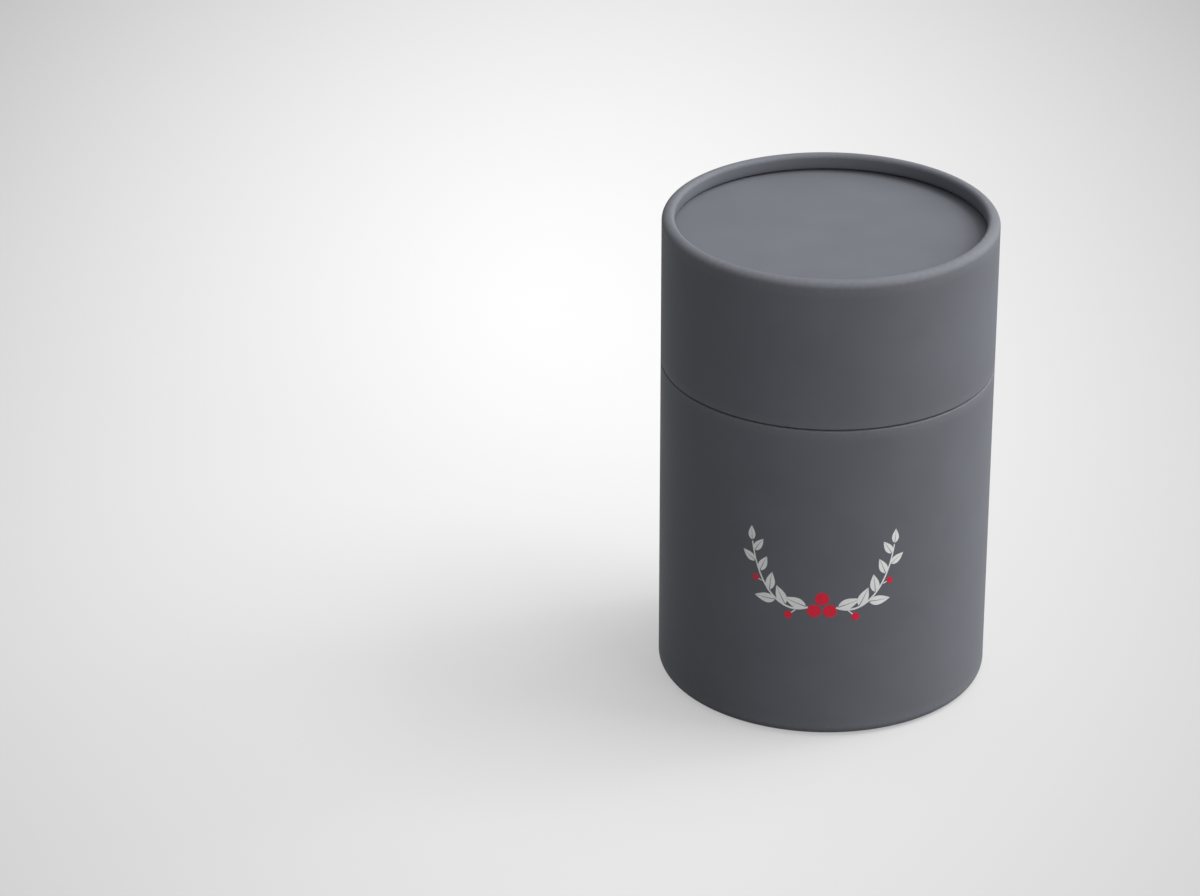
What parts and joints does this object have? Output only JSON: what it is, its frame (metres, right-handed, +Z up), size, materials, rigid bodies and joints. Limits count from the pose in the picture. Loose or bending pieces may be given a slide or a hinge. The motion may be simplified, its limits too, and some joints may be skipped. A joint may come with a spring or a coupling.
{
  "type": "cylindrical gift tube box",
  "caption": "Round paper-board gift tube with a wrapped body, a white neck and a lift-off lid; rolled rims with recessed end discs.",
  "frame": {"origin": "centre of the foot, on the surface the box stands on", "axes": "+Z up along the tube's axis, -Y towards the front, side seams of the wraps at the back (+Y)"},
  "size_m": [0.1, 0.1002, 0.1484],
  "materials": {
    "body_wrap": "soft-touch matt dark grey",
    "lid_wrap": "soft-touch matt dark grey",
    "body_board": "wound greyboard",
    "neck_board": "wound greyboard",
    "lid_board": "wound greyboard",
    "neck_white": "smooth white paper",
    "lid_grey": "smooth light grey paper"
  },
  "bodies": {
    "base": {"base_tube": "body_board", "base_wrap": "body_wrap", "base_disc": "body_board", "base_disc_cover": "body_wrap", "neck_tube": "neck_board", "neck_paper": "neck_white", "bore_lining": "neck_white", "floor_lining": "neck_white"},
    "lid": {"lid_tube": "lid_board", "lid_wrap": "lid_wrap", "lid_disc": "lid_board", "lid_disc_cover": "lid_wrap", "lid_lining": "lid_grey", "lid_ceiling_lining": "lid_grey"}
  },
  "joints": [
    {"name": "lid_lift", "type": "slide", "parent": "base", "child": "lid", "axis": [0, 0, 1], "range_m": [0, 0.15]}
  ]
}
